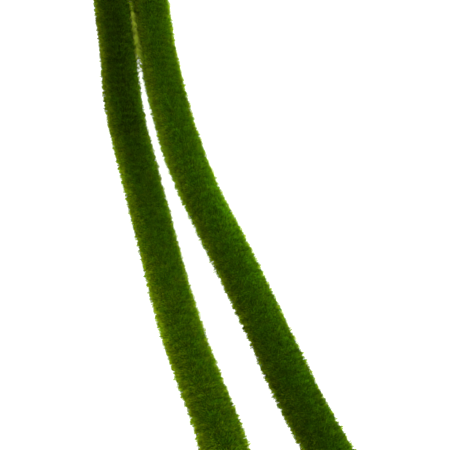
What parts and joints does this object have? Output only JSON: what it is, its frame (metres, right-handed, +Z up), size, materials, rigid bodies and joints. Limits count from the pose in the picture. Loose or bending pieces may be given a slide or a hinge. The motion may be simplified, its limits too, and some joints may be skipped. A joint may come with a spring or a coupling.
{
  "type": "moss garland",
  "caption": "Bendable artificial moss garland: a thick green pile on a twisted wire core, laid doubled over for trimming wreaths, shelves and displays.",
  "frame": {"origin": "on the surface that the garland lies on, in the middle of its outline seen from above", "axes": "+Y runs from the two free ends to the loop where the garland turns back, +Z is up"},
  "size_m": [0.2611, 0.703, 0.024],
  "materials": {
    "moss_pile": "matte",
    "core_wire": "satin"
  },
  "bodies": {
    "root": {"moss_pile": "moss_pile", "core_wire": "core_wire"}
  },
  "joints": []
}
